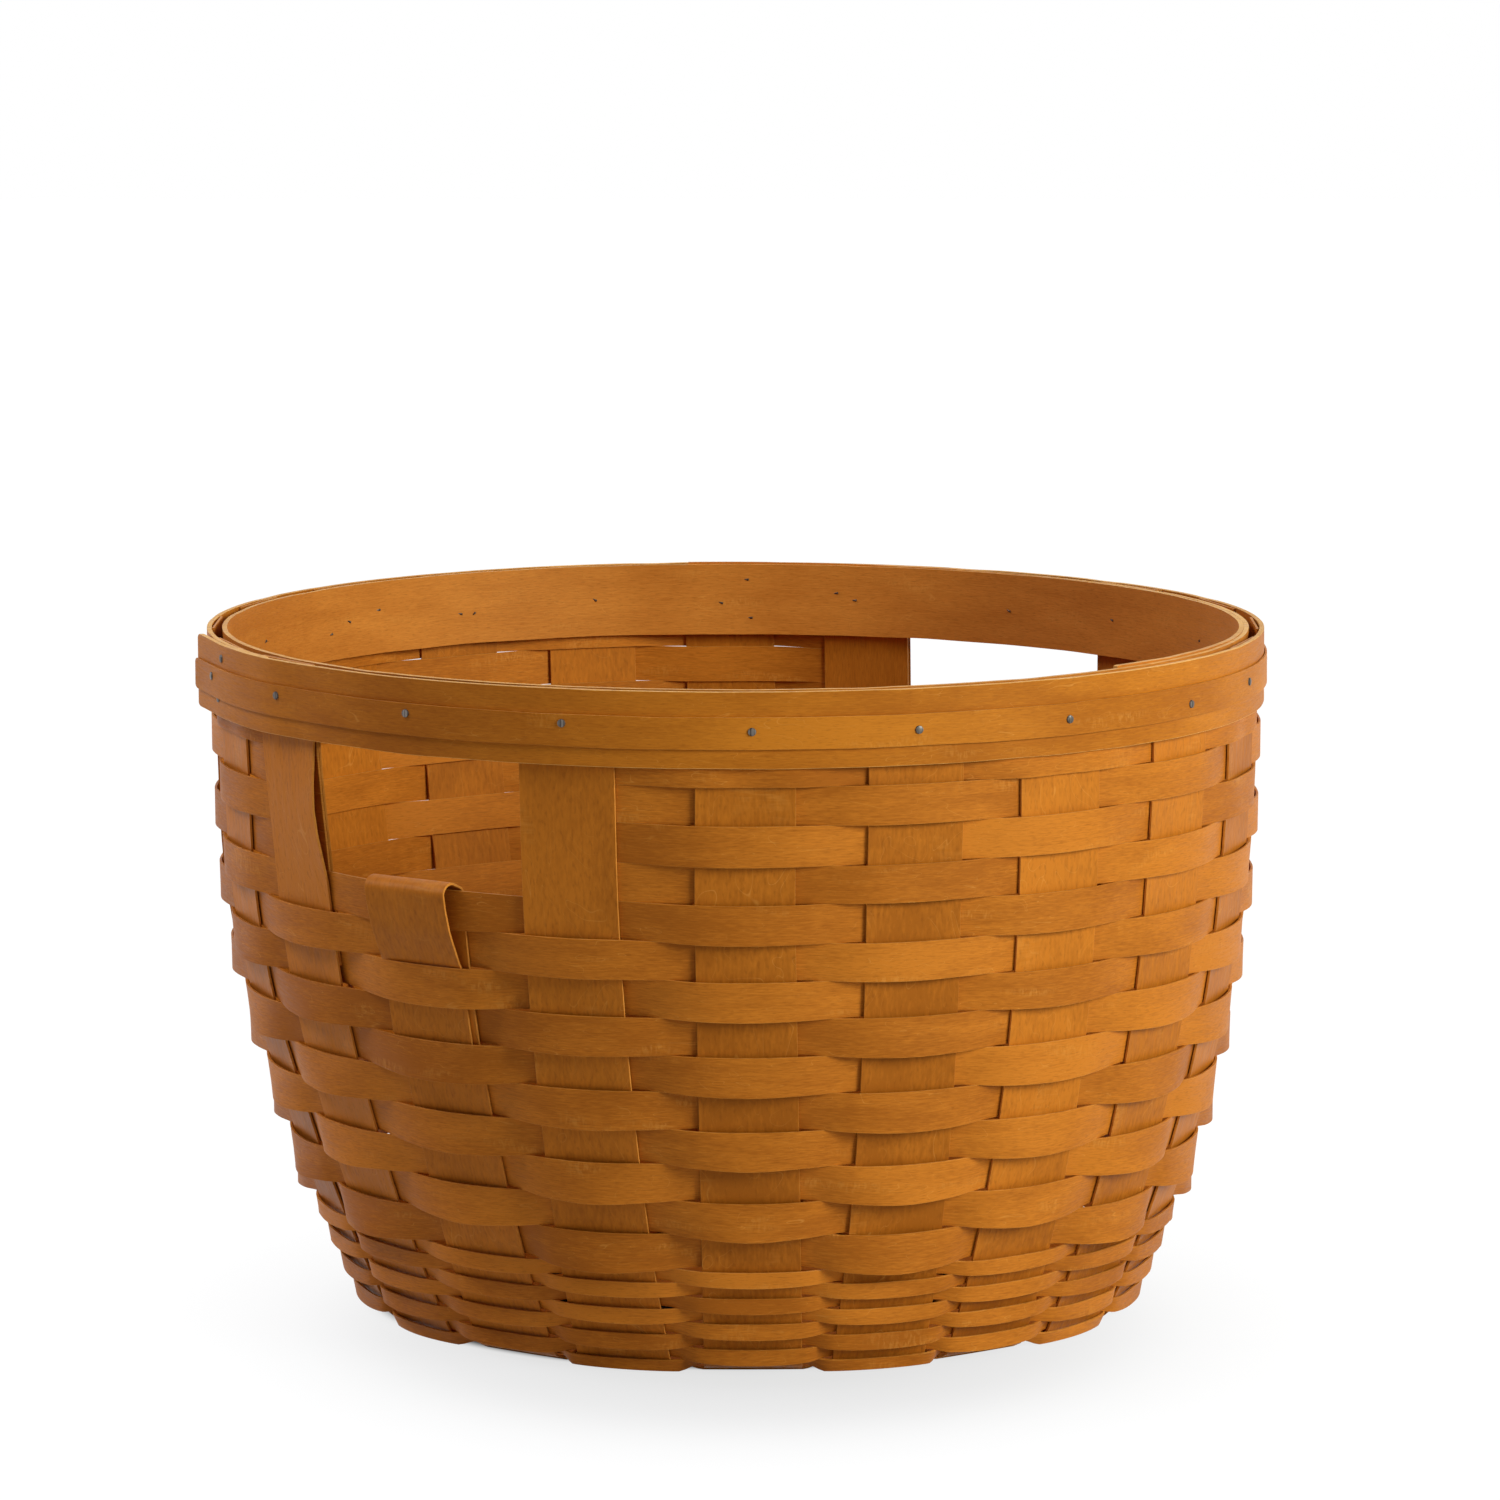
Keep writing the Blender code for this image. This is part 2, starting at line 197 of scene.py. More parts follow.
def make_lamp(name, to_right, up, size, power, colour):
    to_right = math.radians(to_right)
    up = math.radians(up)
    way = Vector((math.sin(to_right) * math.cos(up), -math.cos(to_right) * math.cos(up), math.sin(up)))
    lamp = bpy.data.objects.new(name, bpy.data.lights.new(name, "AREA"))
    lamp.data.shape = "DISK"
    lamp.data.size = size
    lamp.data.energy = power
    lamp.data.color = colour
    lamp.location = LAMP_AIM + way * LAMP_DISTANCE
    lamp.rotation_euler = (-way).to_track_quat("-Z", "Y").to_euler()
    bpy.context.scene.collection.objects.link(lamp)


def make_room():
    room = bpy.data.worlds.new("room")
    room.use_nodes = True
    bpy.context.scene.world = room
    tree = room.node_tree
    back = tree.nodes["Background"]
    back.inputs["Color"].default_value = (1, 1, 1, 1)
    tree.links.new(link_range(tree, seen_directly(tree), 0, 1, ROOM_LIGHT, 1), back.inputs["Strength"])


make_floor()
for lamp_values in LAMPS:
    make_lamp(*lamp_values)
make_room()


# Splints
# Each splint is one long strip of maple veneer, stained honey brown. Its two ends are stakes of the
# wall, and it crosses the base in one piece, narrowed at its middle where the splints are stacked.
# One of them is cut short at the hand holes, folded out over the weave and tucked back behind it.

HEIGHT = 0.2822
RIM_RADIUS = 0.2155       # middle of the stakes at the rim
BASE_RADIUS = 0.1592      # where the wall's line would meet the floor
BELLY_POWER = 2.45        # how late the wall's line bends in
HEEL_RADIUS = 0.0065
HEEL_ROUNDS = 30          # the heel's place is found in so many rounds
WALL_POINTS = 200
HEEL_POINTS = 24
SIDE_LEAN = 0.0210        # sideways drift for each metre down
TRIM_LEVEL = 0.26605      # the drift's fixed level, in the middle of the trim strip
SPLINTS = 10
STAKES = 2 * SPLINTS
STAKE_PITCH = 2 * math.pi / STAKES
STAKE_WIDTH = 0.0392
WAIST_WIDTH = 0.0140
BASE_GAP = 0.0090
STACK_RADIUS = 0.0482
FRONT_TURN = 0.6          # degrees that the front stake stands to the right
STAKE_DRIFT = (           # degrees that each stake stands off an even spacing
    0.0, 0.1, -0.3, 0.3, -0.3, -0.4, -0.1, 0.5, 1.0, 1.6,
    0.1, -1.3, -2.0, -2.6, -2.4, -1.7, -0.4, -1.5, -0.2, -0.6,
)
STAKE_LEAN = {            # how far these stakes stand to one side at their tops
    17: -0.0052, 19: 0.0007, 0: 0.0013, 1: 0.0011, 3: 0.0022, 4: 0.0026,
}
LEAN_FADE = (0.030, 0.095)    # so far down the wall this begins to fade, and is gone
STAKE_TOP = 0.0003        # how far below the rim a stake ends
VENEER = 0.0010           # thickness of a stake or a weaver
LAYER = 0.0013            # one strip and the room to the next
HOLE_STAKES = (8, 18)     # the two that are cut short
CORNER = 0.0008           # room that a strip leaves to turn round another one's edge
FIRST_ROW = 0.0220        # how far down the wall the rows begin
ROW_TILT = 0.0013         # how much lower the rows lie on the right
SIDE_BULGE = 0.0026       # how much further the wall bellies out on the left
BULGE_RISE = (0.04, 0.11)     # so far down the wall it begins, and is full
BULGE_FALL = (0.20, 0.13)     # and so far down it is gone, and still full
RIM_FLARE = 0.0010        # how much further out the rim's edge is on the right
FLARE_DEPTH = 0.035
WIDE_ROWS = 14
NARROW_ROWS = 8
NARROW_PITCH = 0.0062
HEEL_ROOM = 0.0026
BASE_ROWS = 6
BASE_PITCH = 0.0102
CUT_ROWS = 4
FOLD_ROW = CUT_ROWS + 1
TAIL_ROW = CUT_ROWS + 5
FOLD_RADIUS = 0.0055
FOLD_RISE = 0.0036        # how far the fold stands above the row that it hangs over
TUCK_PAST = 0.0010        # how far past a row's edge the tail is still slightly off the stake
TUCK_OUT = 0.0003         # and by how much
FLAT_ROW = FOLD_ROW + 3   # from the top of this row down, the tail lies flat on the stake
FLAP_SHAPE = (            # row, distance past its upper edge, distance out from the stake in fold radii
    (FOLD_ROW + 2, -0.0015, 0.55), (FOLD_ROW + 1, 0.0, 1.5), (FOLD_ROW, 0.0060, 1.88), (FOLD_ROW, 0.0, 2.0),
)
TAIL_SHIFT = 0.0026       # how far the tail of a folded stake is pushed to the left
FOLD_SHIFT = 0.0012       # the same at the fold itself
SPRUNG_STAKE = 17
SPRUNG_OUT = 0.0034       # how far its edge stands out
SPRUNG_TOP = 0.026        # from so far down the wall
SPRUNG_PAST_HOLE = 0.012  # to so far below the hand hole
WALL_STATIONS = 30
HEEL_STATIONS = 9
BASE_STATIONS = 9
FLAP_STATIONS = 4         # between one knot of the flap and the next
FOLD_STATIONS = 15
PASS_OFFSET = LAYER       # from the middle of a stake to the middle of a weaver that passes it
BASE_LIFT = PASS_OFFSET + VENEER / 2


def wall_radius(depth):
    return RIM_RADIUS - (RIM_RADIUS - BASE_RADIUS) * (depth / HEIGHT) ** BELLY_POWER


def wall_lean(depth):
    slope = (RIM_RADIUS - BASE_RADIUS) * BELLY_POWER / HEIGHT * (depth / HEIGHT) ** (BELLY_POWER - 1)
    return math.atan(slope)


def section_line():
    """Length, radius, height and lean of the stakes' middle surface, from the rim to the base's centre."""
    wall_depth = HEIGHT
    for _ in range(HEEL_ROUNDS):
        wall_depth = HEIGHT - BASE_LIFT - HEEL_RADIUS * (1 - math.sin(wall_lean(wall_depth)))
    depth = np.linspace(0, wall_depth, WALL_POINTS)
    lean = np.array([wall_lean(d) for d in depth])
    turn = np.linspace(lean[-1], math.pi / 2, HEEL_POINTS)[1:]
    heel_centre = wall_radius(wall_depth) - HEEL_RADIUS * math.cos(lean[-1])
    radius = np.concatenate([wall_radius(depth), heel_centre + HEEL_RADIUS * np.cos(turn), [0]])
    level = np.concatenate([HEIGHT - depth, BASE_LIFT + HEEL_RADIUS * (1 - np.sin(turn)), [BASE_LIFT]])
    lean = np.concatenate([lean, turn, [math.pi / 2]])
    length = np.concatenate([[0], np.cumsum(np.hypot(np.diff(radius), np.diff(level)))])
    return length, radius, level, lean


LENGTH, RADIUS, LEVEL, LEAN = section_line()
HEEL_START = LENGTH[WALL_POINTS - 1]
HEEL_END = LENGTH[-2]
NARROW_START = HEEL_END - HEEL_ROOM - NARROW_ROWS * NARROW_PITCH
WIDE_PITCH = (NARROW_START - FIRST_ROW) / WIDE_ROWS
BASE_START = HEEL_END + 2 * CORNER
BASE_END = BASE_START + BASE_ROWS * BASE_PITCH


def radius_at(along):
    return float(np.interp(along, LENGTH, RADIUS))


def lean_at(along):
    return float(np.interp(along, LENGTH, LEAN))


def row_top(row):
    return FIRST_ROW + (row - 1) * WIDE_PITCH


def share_of(value, start, end):
    return min(1.0, max(0.0, (value - start) / (end - start)))


def smooth_share(value, start, end):
    share = share_of(value, start, end)
    return share * share * (3 - 2 * share)


def stake_width(along):
    room = 2 * radius_at(along) * math.tan(STAKE_PITCH / 2) - BASE_GAP
    return min(STAKE_WIDTH, max(WAIST_WIDTH, room))


def stake_angle(stake):
    return stake * STAKE_PITCH + math.radians(FRONT_TURN + STAKE_DRIFT[stake])


def place(angle, radius, side, height):
    x = radius * math.sin(angle) + side * math.cos(angle)
    y = -radius * math.cos(angle) + side * math.sin(angle)
    return Vector((x + SIDE_LEAN * (TRIM_LEVEL - height), y, height))


def on_stake(stake, along, side, out):
    """A point on a stake's plane: along the wall, sideways across it, and out from its middle surface."""
    to_right = math.sin(stake_angle(stake))
    tilted = min(share_of(along, 0, FIRST_ROW), share_of(along, HEEL_START, NARROW_START))
    along += ROW_TILT * to_right * tilted
    bulge = SIDE_BULGE * min(0.0, to_right) ** 2
    bulge *= smooth_share(along, *BULGE_RISE)
    bulge *= smooth_share(along, *BULGE_FALL)
    bulge += RIM_FLARE * max(0.0, to_right) * (1 - share_of(along, 0, FLARE_DEPTH))
    lean = lean_at(along)
    height = float(np.interp(along, LENGTH, LEVEL)) - out * math.sin(lean)
    return place(stake_angle(stake), radius_at(along) + bulge + out * math.cos(lean), side, height)


GRAIN = {                 # each pattern's changes in a metre along and across the grain, detail, wave
    "tone": (5, 3, 1.0, 0.0),
    "cloud": (24, 75, 3.0, 0.5),
    "figure": (13, 260, 2.0, 0.7),
    "fibre": (75, 1000, 3.0, 0.0),
    "fine": (210, 1900, 2.0, 0.0),
    "dashes": (300, 2100, 1.0, 0.0),
    "ripple": (24, 120, 1.0, 1.4),
    "curl": (800, 300, 1.0, 0.8),
    "patches": (22, 90, 2.0, 0.0),
}
BROAD_TONES = {"tone": 1.2, "cloud": 0.6}
STREAK_TONES = {"figure": 0.22, "fibre": 0.4, "fine": 0.7}
TONE_SPREAD = 0.24
FLECK_RANGE = (0.56, 0.74)
FLECK_SHARE = 0.26
CURL_RANGE = (0.42, 0.66)
CURL_SHARE = 0.36
PATCH_RANGE = (0.60, 0.74)
LINE_SPACING = 0.085      # of the thin pale lines, in steps of the ripple pattern
LINE_WIDTH = 0.004
LINE_SHARE = 0.42
LINE_FADE = (0.40, 0.62)
FIBRE_RANGE = (0.3, 0.7)
ROUGHNESS = (0.58, 0.44)
SHINE = 0.15
SHINE_TINT = (1.0, 0.76, 0.40, 1)
RELIEF = {"fibre": 0.8, "dashes": -0.5, "figure": 0.6}
RELIEF_STRENGTH = 0.5
RELIEF_DEPTH = 0.0001
FLECK_COLOUR = (0.17, 0.040, 0.003)
PALE_COLOUR = (0.72, 0.30, 0.055)
EDGE_PALE_COLOUR = (0.8, 0.40, 0.10)
MIX_INPUTS = (6, 7)       # the sockets of a mix node that are for colours
MIX_OUTPUT = 2


def link_noise(tree, vector, along, across, detail, wave=0.0):
    """A noise pattern that changes so many times in a metre along and across the strip."""
    scaled = tree.nodes.new("ShaderNodeMapping")
    scaled.inputs["Scale"].default_value = (along, across, 1)
    tree.links.new(vector, scaled.inputs["Vector"])
    pattern = tree.nodes.new("ShaderNodeTexNoise")
    pattern.inputs["Scale"].default_value = 1.0
    pattern.inputs["Detail"].default_value = detail
    pattern.inputs["Distortion"].default_value = wave
    tree.links.new(scaled.outputs[0], pattern.inputs["Vector"])
    return pattern.outputs["Fac"]


def link_mix(tree, share, first, second):
    """Mixes two colours, each one a socket or a plain colour."""
    mix = tree.nodes.new("ShaderNodeMix")
    mix.data_type = "RGBA"
    feed(tree, mix.inputs["Factor"], share)
    feed(tree, mix.inputs[MIX_INPUTS[0]], first)
    feed(tree, mix.inputs[MIX_INPUTS[1]], second)
    return mix.outputs[MIX_OUTPUT]


def link_sum(tree, patterns, weights):
    """The patterns that have a weight, each times its weight, added up."""
    total = 0.0
    for name, weight in weights.items():
        step = tree.nodes.new("ShaderNodeMath")
        step.operation = "MULTIPLY_ADD"
        for socket, value in zip(step.inputs, (patterns[name], weight, total)):
            feed(tree, socket, value)
        total = step.outputs[0]
    return total


def veneer(name, light, dark, pale=PALE_COLOUR, streaks=1.0):
    """Stained veneer, whose grain runs along the strip's own map."""
    material = bpy.data.materials.new(name)
    material.use_nodes = True
    tree = material.node_tree
    shader = tree.nodes["Principled BSDF"]
    strip_map = tree.nodes.new("ShaderNodeUVMap")
    strip_map.uv_map = "grain"
    patterns = {key: link_noise(tree, strip_map.outputs["UV"], *values) for key, values in GRAIN.items()}
    weights = BROAD_TONES | {key: weight * streaks for key, weight in STREAK_TONES.items()}
    middle = sum(weights.values()) / 2
    depth = link_sum(tree, patterns, weights)
    darker = link_range(tree, depth, middle - TONE_SPREAD, middle + TONE_SPREAD, 0, 1)
    flecked = link_range(tree, patterns["dashes"], *FLECK_RANGE, 0, FLECK_SHARE)
    curled = link_range(tree, patterns["curl"], *CURL_RANGE, 0, CURL_SHARE)
    in_patch = link_range(tree, patterns["patches"], *PATCH_RANGE, 0, 1)
    ridge = link_math(tree, "PINGPONG", patterns["ripple"], LINE_SPACING)
    lined = link_range(tree, ridge, LINE_SPACING - LINE_WIDTH, LINE_SPACING, 0, LINE_SHARE)
    in_light = link_range(tree, patterns["cloud"], *LINE_FADE, 1, 0)
    colour = link_mix(tree, darker, light, dark)
    colour = link_mix(tree, flecked, colour, FLECK_COLOUR)
    colour = link_mix(tree, link_math(tree, "MULTIPLY", curled, in_patch), colour, pale)
    colour = link_mix(tree, link_math(tree, "MULTIPLY", lined, in_light), colour, pale)
    tree.links.new(colour, shader.inputs["Base Color"])
    roughness = link_range(tree, patterns["fibre"], *FIBRE_RANGE, *ROUGHNESS)
    tree.links.new(roughness, shader.inputs["Roughness"])
    shader.inputs["Specular IOR Level"].default_value = SHINE
    shader.inputs["Specular Tint"].default_value = SHINE_TINT
    bump = tree.nodes.new("ShaderNodeBump")
    bump.inputs["Strength"].default_value = RELIEF_STRENGTH
    bump.inputs["Distance"].default_value = RELIEF_DEPTH
    tree.links.new(link_sum(tree, patterns, RELIEF), bump.inputs["Height"])
    tree.links.new(bump.outputs[0], shader.inputs["Normal"])
    return material


stake_veneer = veneer("stake_veneer", (0.57, 0.172, 0.0142), (0.37, 0.103, 0.0075), streaks=0.85)
# The strips' edges: partly paler cut wood, partly a painted highlight where edges catch the light.
cut_edge_and_highlight = veneer("cut_edge_and_highlight", (0.65, 0.24, 0.036), (0.45, 0.148, 0.016), EDGE_PALE_COLOUR)

ACROSS = (0.0, 0.05, 0.35, 0.65, 0.95, 1.0)   # where a strip's rows of points lie across it
EDGE_ROUND = 0.00015
EDGE_SEGMENTS = 2
EDGE_ANGLE = math.radians(50)
MAP_STEP = (2.7, 0.61)    # how far along and across one strip's grain is taken from the last one's
MERGE_DISTANCE = 1e-6
strip_numbers = itertools.count(1)


def bend_strip(
        name, upper, lower, veneer_face, closed=False, edge_face=cut_edge_and_highlight, edge_round=EDGE_ROUND,
        thickness=VENEER):
    """A strip of veneer bent so that its long edges follow two lines, with its grain map in metres."""
    number = next(strip_numbers)
    count = len(upper)
    columns = count + (1 if closed else 0)
    middle = [upper[c % count].lerp(lower[c % count], 0.5) for c in range(columns)]
    run = [0.0]
    for here, there in zip(middle, middle[1:]):
        run.append(run[-1] + (there - here).length)
    width = (upper[count // 2] - lower[count // 2]).length
    mesh = bpy.data.meshes.new(name)
    bm = bmesh.new()
    bmesh.ops.create_grid(bm, x_segments=columns - 1, y_segments=len(ACROSS) - 1, size=0.5)
    grain = bm.loops.layers.uv.new("grain")
    spot = {}
    for vertex in bm.verts:
        column = round((vertex.co.x + 0.5) * (columns - 1))
        spot[vertex] = column, ACROSS[round((vertex.co.y + 0.5) * (len(ACROSS) - 1))]
    for face in bm.faces:
        for loop in face.loops:
            column, share = spot[loop.vert]
            loop[grain].uv = run[column] + MAP_STEP[0] * number, share * width + MAP_STEP[1] * number
    for vertex, (column, share) in spot.items():
        vertex.co = lower[column % count].lerp(upper[column % count], share)
    bmesh.ops.remove_doubles(bm, verts=bm.verts, dist=MERGE_DISTANCE)
    bm.to_mesh(mesh)
    bm.free()
    mesh.materials.append(veneer_face)
    mesh.materials.append(edge_face)
    mesh.shade_smooth()
    piece = bpy.data.objects.new(name, mesh)
    bpy.context.scene.collection.objects.link(piece)
    body = piece.modifiers.new("Thickness", "SOLIDIFY")
    body.thickness = thickness
    body.offset = 0
    body.use_even_offset = True
    body.material_offset_rim = 1
    rounded = piece.modifiers.new("Worn edges", "BEVEL")
    rounded.width = edge_round
    rounded.segments = EDGE_SEGMENTS
    rounded.limit_method = "ANGLE"
    rounded.angle_limit = EDGE_ANGLE
    rounded.harden_normals = True
    # The rounded faces take the paler edge colour, partly a painted highlight.
    rounded.material = 1
    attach(piece, "root")
    return piece


def base_climb(along):
    return smooth_share(radius_at(along), radius_at(BASE_END + CORNER), STACK_RADIUS)


def half_splint(splint):
    """(along, out) stations from the top of a stake to the edge of the stack at the centre."""
    wall = np.linspace(STAKE_TOP, HEEL_START, WALL_STATIONS)
    heel = np.linspace(HEEL_START, HEEL_END, HEEL_STATIONS)[1:]
    ramp = np.linspace(BASE_END + CORNER, LENGTH[-1] - STACK_RADIUS, BASE_STATIONS)
    return [(s, -splint * LAYER * base_climb(s)) for s in (*wall, *heel, *ramp)]


def folded_tail():
    """(along, out) stations of a folded stake from its tail, tucked behind two rows, over the fold."""
    knots = [
        (row_top(TAIL_ROW) + WIDE_PITCH / 2, LAYER),
        (row_top(FLAT_ROW), LAYER),
        (row_top(FOLD_ROW + 2) + TUCK_PAST, LAYER + TUCK_OUT),
    ]
    knots += [(row_top(row) + past, radii * FOLD_RADIUS) for row, past, radii in FLAP_SHAPE]
    tail = []
    for (s0, o0), (s1, o1) in zip(knots, knots[1:]):
        steps = np.linspace(0, 1, FLAP_STATIONS + 1)[:-1]
        tail += [(s0 + (s1 - s0) * step, o0 + (o1 - o0) * step) for step in steps]
    for turn in np.linspace(0, math.pi, FOLD_STATIONS):
        above_row = FOLD_RISE * math.sin(turn)
        tail.append((row_top(FOLD_ROW) - above_row, FOLD_RADIUS * (1 + math.cos(turn))))
    return tail


def sprung(stake, along, side):
    """The stake at the left of the front hand hole has sprung out along its right edge."""
    if stake != SPRUNG_STAKE or side < 0:
        return 0.0
    share = share_of(along, SPRUNG_TOP, row_top(FOLD_ROW) + SPRUNG_PAST_HOLE)
    return SPRUNG_OUT * math.sin(math.pi * share) ** 2


def leaning(stake, along):
    """Some stakes lean to one side at their tops."""
    return STAKE_LEAN.get(stake, 0.0) * (1 - smooth_share(along, *LEAN_FADE))


def make_splint(splint):
    path = half_splint(splint)
    if splint in HOLE_STAKES:
        path = folded_tail() + [station for station in path if station[0] > row_top(FOLD_ROW) + CORNER]
    upper = []
    lower = []
    for stake, stations in ((splint, path), (splint + SPLINTS, path[::-1])):
        for along, out in stations:
            half = stake_width(along) / 2
            side = half if stake == splint else -half
            shift = leaning(stake, along) - TAIL_SHIFT * share_of(out, 0, LAYER)
            shift += (TAIL_SHIFT - FOLD_SHIFT) * share_of(out, LAYER, 2 * FOLD_RADIUS)
            upper.append(on_stake(stake, along, side + shift, out + sprung(stake, along, side)))
            lower.append(on_stake(stake, along, -side + shift, out + sprung(stake, along, -side)))
    name = "splint_%02d" % (splint + 1)
    piece = bend_strip(name + "_strip", upper, lower, stake_veneer)
    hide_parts(name)


for splint_number in range(SPLINTS):
    make_splint(splint_number)


# Linings beside the hand holes
# A second strip of the same veneer stands inside each stake beside a hand hole. It covers the cut ends
# of four rows, and its own lower end is tucked behind the weave.

LINING_ROW = CUT_ROWS + 3
LINING_INSET = 0.0005     # how much narrower it is than the stake, at each edge
LINING_BEND = 0.008       # the height over which it steps in behind the first row
LINING_STATIONS = 24
TAPER_STATIONS = 6


def beside_hole(stake):
    return any((stake - hole) % STAKES in (1, STAKES - 1) for hole in HOLE_STAKES)


def make_lining(stake):
    fold_row_end = row_top(FOLD_ROW + 1)
    stations = []
    for along in np.linspace(STAKE_TOP, fold_row_end, LINING_STATIONS):
        behind_row = smooth_share(along, FIRST_ROW - LINING_BEND, FIRST_ROW)
        stations.append((along, PASS_OFFSET + PASS_OFFSET * behind_row))
    for step in np.linspace(0, 1, TAPER_STATIONS)[1:]:
        stations.append((fold_row_end + WIDE_PITCH / 2 * step, 2 * PASS_OFFSET - LAYER * step))
    stations.append((row_top(LINING_ROW) + WIDE_PITCH / 2, LAYER))
    half = STAKE_WIDTH / 2 - LINING_INSET
    upper = [on_stake(stake, along, half + leaning(stake, along), -inward) for along, inward in stations]
    lower = [on_stake(stake, along, -half + leaning(stake, along), -inward) for along, inward in stations]
    name = "hole_lining_%02d" % stake
    piece = bend_strip(name + "_strip", upper, lower, stake_veneer)
    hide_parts(name)


for stake_number in range(STAKES):
    if beside_hole(stake_number):
        make_lining(stake_number)


# Wide weavers
# Fourteen rows of veneer, each over one stake and under the next. A row bows out where it passes over
# a stake, and stands more upright there than the wall does. The upper four rows are cut at the hand
# holes, and their ends lie inside the stakes there.

ROW_WANDER = 0.0004       # how far an edge strays up or down where it passes a stake
NARROW_WANDER = 0.3       # share of it from the last wide row down
CROWN = 0.0014            # how far a row bows out over a stake
CROWN_WANDER = 0.0003
FIRST_ROW_CROWN = 0.1     # share of it on the first row, which the rim presses flat
NARROW_CROWN = 0.6        # and on the narrow rows
UPRIGHT = 1.0             # share of the wall's lean that a row makes up for where it bows out
EDGE_UPRIGHT = 0.55       # the same at the edges of the stake
BACK_BOW = 0.0002         # how far a row stands off the edges of a stake that it passes inside
OVERHANG = 0.17           # how much taller a row is there, for each radian of the wall's lean
SAG = 0.02                # how far a bowed row dips, against a strip laid straight round the cone
MOST_LEAN = 0.5           # radians, beyond which neither of them grows
NARROW_DROP = 0.0009      # how much lower the narrow rows lie than the wide ones leave room for
ARC_POINTS = 6            # between one knot of a row's edge and the next
ROW_SEEDS = 1000          # how far apart the seeds of the random numbers are from row to row
STAKE_SEEDS = 10          # and from stake to stake
CROWN_DRAW = 1            # the place's own draws
EDGE_DRAW = 2
START_STAKES = 4          # the ends of the full rows meet at one of so many stakes at the front

weaver_veneer = veneer("weaver_veneer", (0.59, 0.181, 0.0165), (0.38, 0.104, 0.0083))


def passes_outside(row, stake):
    if row <= CUT_ROWS and beside_hole(stake):
        return False
    return (row - FOLD_ROW + stake - HOLE_STAKES[0]) % 2 == 0


def extra_layers(row, stake):
    """Strips between a weaver and the stake: a folded tail outside it, or a lining's end inside it."""
    outside = passes_outside(row, stake)
    behind_tail = outside and stake in HOLE_STAKES and FOLD_ROW < row <= TAIL_ROW
    behind_lining = not outside and beside_hole(stake) and FOLD_ROW < row <= LINING_ROW
    return 1 if behind_tail or behind_lining else 0


def row_edges(row):
    """Where a row's upper and lower edges lie along the wall. Rows under the base go on from the others."""
    if row <= WIDE_ROWS:
        return row_top(row), row_top(row + 1)
    row -= WIDE_ROWS
    if row <= NARROW_ROWS:
        top = NARROW_START + NARROW_DROP + (row - 1) * NARROW_PITCH
        return top, top + NARROW_PITCH
    row -= NARROW_ROWS
    return BASE_START + (row - 1) * BASE_PITCH, BASE_START + row * BASE_PITCH


def wander(row, stake, draw):
    """A small steady random number from -1 to 1 for a place in the weave."""
    return random.Random(row * ROW_SEEDS + stake * STAKE_SEEDS + draw).uniform(-1, 1)


def row_crown(row, stake):
    share = FIRST_ROW_CROWN if row == 1 else NARROW_CROWN if row > WIDE_ROWS else 1.0
    return (CROWN + CROWN_WANDER * wander(row, stake, CROWN_DRAW)) * share


def bowed_point(row, stake, side, out, stray, lower_edge):
    """A point of a row's edge over a stake that it passes outside."""
    top, bottom = row_edges(row)
    middle = (top + bottom) / 2
    lean = min(lean_at(middle), MOST_LEAN)
    crown = 0.0
    dip = 0.0
    upright = EDGE_UPRIGHT
    if side == 0:
        crown = row_crown(row, stake)
        dip = SAG * STAKE_PITCH ** 2 / 2 * radius_at(middle) * math.sin(lean)
        upright = UPRIGHT
    if row == 1:
        upright = 0.0
    side += leaning(stake, middle)
    above = on_stake(stake, top + dip + stray, side, out + crown)
    if not lower_edge:
        return above
    below = on_stake(stake, bottom + dip + stray, side, out + crown)
    tall = (bottom - top) * (1 + OVERHANG * lean)
    return below.lerp(above - Vector((0, 0, tall)), upright)


def row_knots(row, stakes, lower_edge, closed):
    """The points that one edge of a row goes through: three over a stake, and two behind one."""
    top, bottom = row_edges(row)
    along = bottom if lower_edge else top
    reach = stake_width((top + bottom) / 2) / 2 + CORNER
    cut_back = CORNER + LINING_INSET
    knots = []
    for stake in stakes:
        stray = ROW_WANDER * wander(row + (1 if lower_edge else 0), stake, EDGE_DRAW)
        stray *= 1.0 if row < WIDE_ROWS else NARROW_WANDER
        out = PASS_OFFSET + extra_layers(row, stake) * LAYER
        if passes_outside(row, stake) and row <= WIDE_ROWS + NARROW_ROWS:
            knots += [bowed_point(row, stake, side, out, stray, lower_edge) for side in (-reach, 0, reach)]
        else:
            if not passes_outside(row, stake):
                out = -out - (BACK_BOW if row <= WIDE_ROWS else BACK_BOW / 2)
            left = -reach + (cut_back if not closed and stake == stakes[0] else 0)
            right = reach - (cut_back if not closed and stake == stakes[-1] else 0)
            shift = leaning(stake, along)
            knots += [on_stake(stake, along + stray, side + shift, out) for side in (left, right)]
    return knots


def row_line(row, stakes, lower_edge, closed):
    """One edge of a row as a smooth line over and under the stakes, nowhere below the floor."""
    knots = row_knots(row, stakes, lower_edge, closed)
    count = len(knots)
    headings = []
    for number in range(count):
        before = knots[number - 1] if closed or number > 0 else knots[0]
        after = knots[(number + 1) % count] if closed or number < count - 1 else knots[-1]
        headings.append((after - before).normalized())
    line = []
    for number in range(count if closed else count - 1):
        here, there = knots[number], knots[(number + 1) % count]
        pull = (there - here).length / 3
        leave, arrive = here + headings[number] * pull, there - headings[(number + 1) % count] * pull
        line += interpolate_bezier(here, leave, arrive, there, ARC_POINTS)[:-1]
    for point in line:
        point.z = max(point.z, VENEER / 2)
    if not closed:
        return line + [knots[-1]]
    half = ARC_POINTS // 2
    return line[half:] + line[:half]


